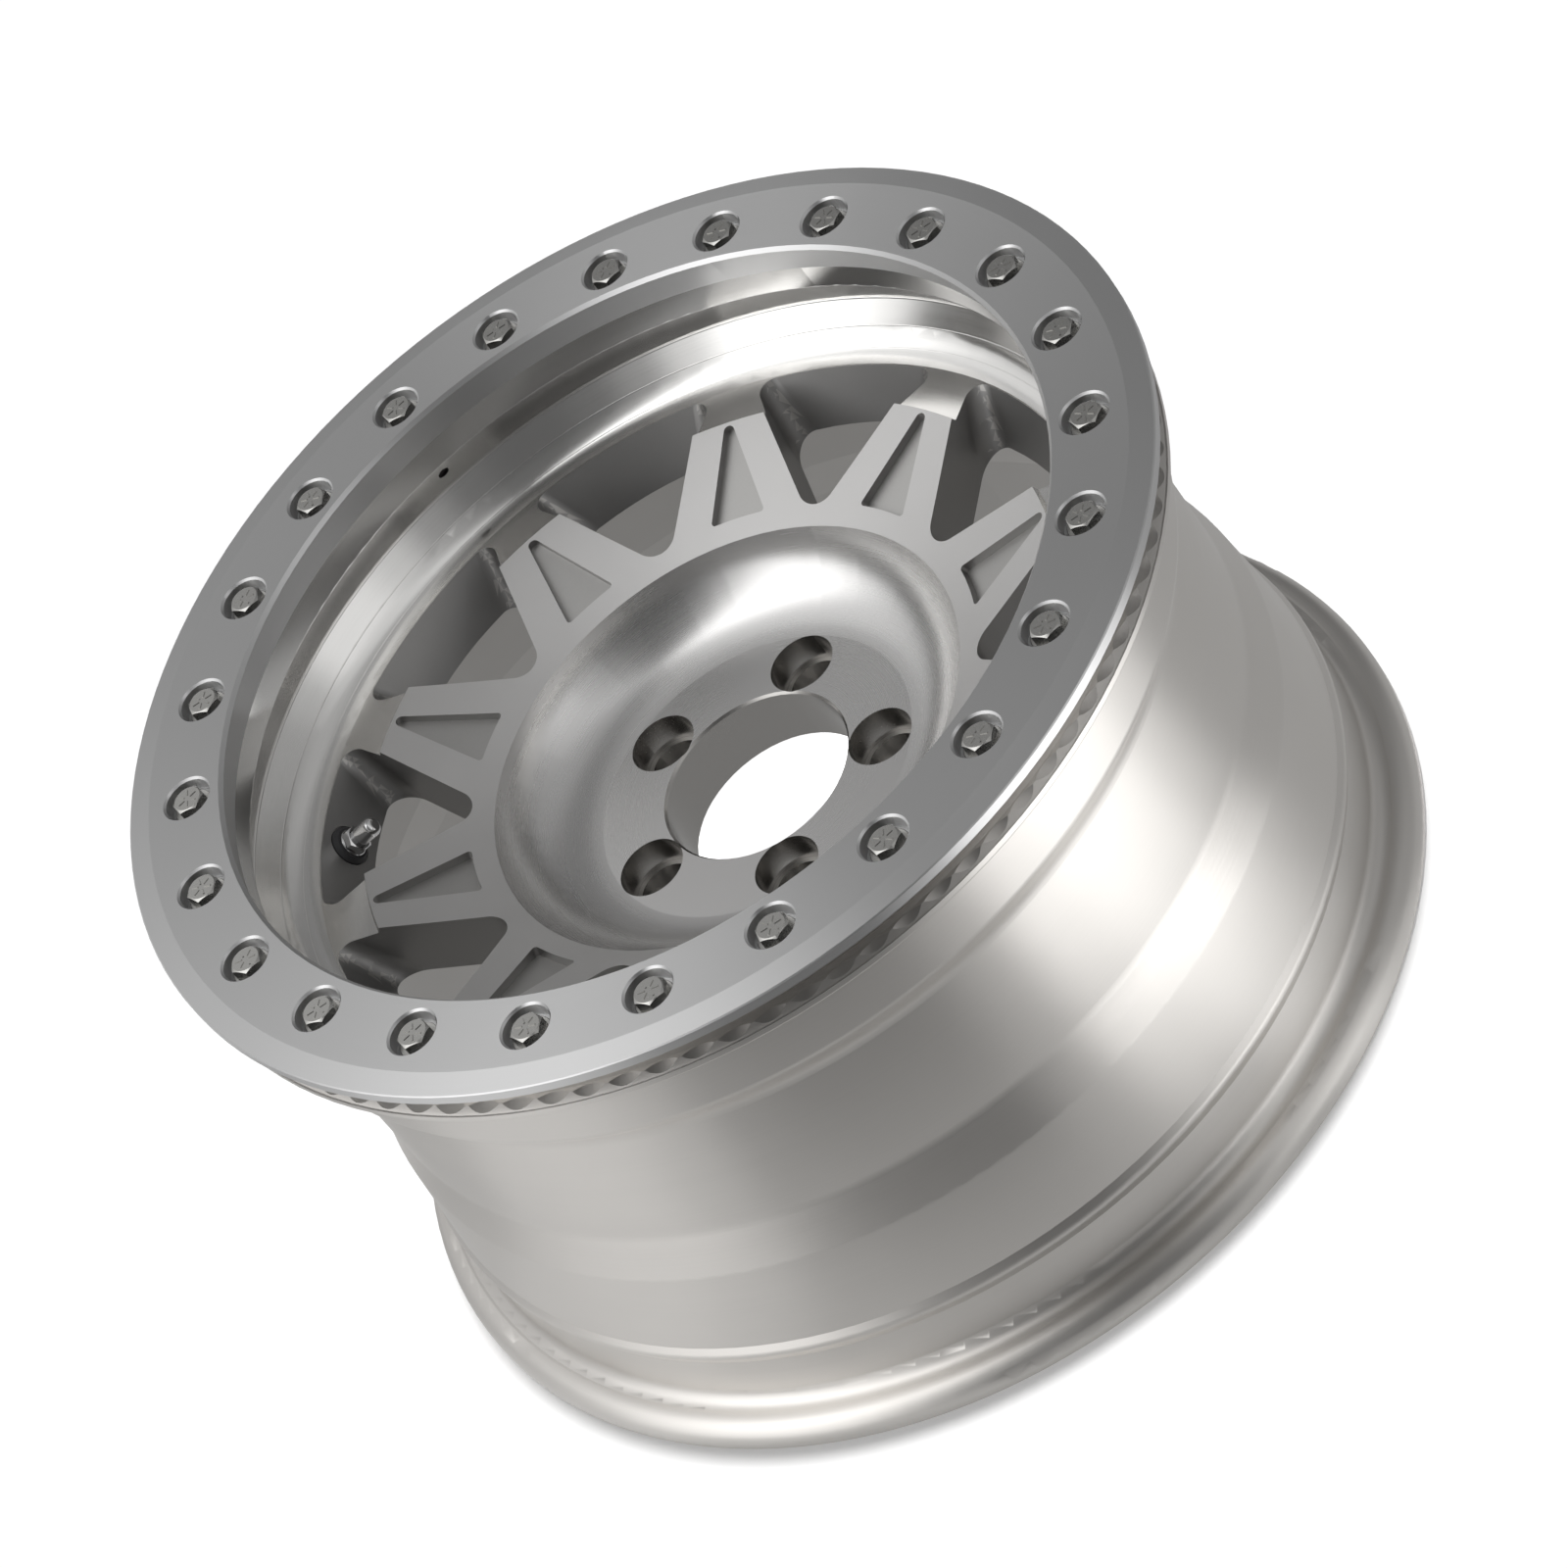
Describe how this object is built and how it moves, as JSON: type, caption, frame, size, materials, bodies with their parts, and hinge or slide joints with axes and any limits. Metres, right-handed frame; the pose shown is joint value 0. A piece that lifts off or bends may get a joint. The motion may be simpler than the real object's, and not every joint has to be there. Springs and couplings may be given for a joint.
{
  "type": "beadlock wheel",
  "caption": "Forged car wheel with a deep dish hub, tapered spokes, a drop-centre barrel and a bolted outer ring that clamps the tyre's outer bead.",
  "frame": {"origin": "on the wheel's axis, in the plane of the hub pad that bolts to the car", "axes": "+Z along the axis to the street side, +X through a lug hole, +Y completes a right-handed frame"},
  "size_m": [0.4696, 0.4696, 0.2528],
  "materials": {
    "wheel_aluminium": "turned and milled, satin",
    "ring_aluminium": "satin machined",
    "bolt_steel": "zinc plated",
    "insert_steel": "plain",
    "spring_steel": "plain",
    "valve_chrome": "polished plating",
    "core_brass": "turned",
    "valve_rubber": "moulded, matt"
  },
  "bodies": {
    "wheel": {"wheel": "wheel_aluminium", "beadlock_ring": "ring_aluminium", "ring_bolts": "bolt_steel", "ring_washers": "bolt_steel", "thread_inserts": "insert_steel", "valve_washer": "valve_chrome", "valve_nut": "valve_chrome", "valve_stem": "valve_chrome", "valve_core_spring": "spring_steel", "valve_outer_grommet": "valve_rubber", "valve_inner_grommet": "valve_rubber", "valve_core_body": "core_brass", "valve_core_gasket": "valve_rubber", "valve_cap": "valve_chrome", "valve_cap_seal": "valve_rubber"},
    "valve_pin": {"valve_core_pin": "core_brass", "valve_core_seal": "valve_rubber"}
  },
  "joints": [
    {"name": "valve_pin_press", "type": "slide", "parent": "wheel", "child": "valve_pin", "axis": [-0.2809, 0.8646, -0.4166], "range_m": [0, 0.0015], "stiffness_N_per_m": 1500, "springref_m": -0.002, "deforming": ["valve_core_spring"]}
  ]
}
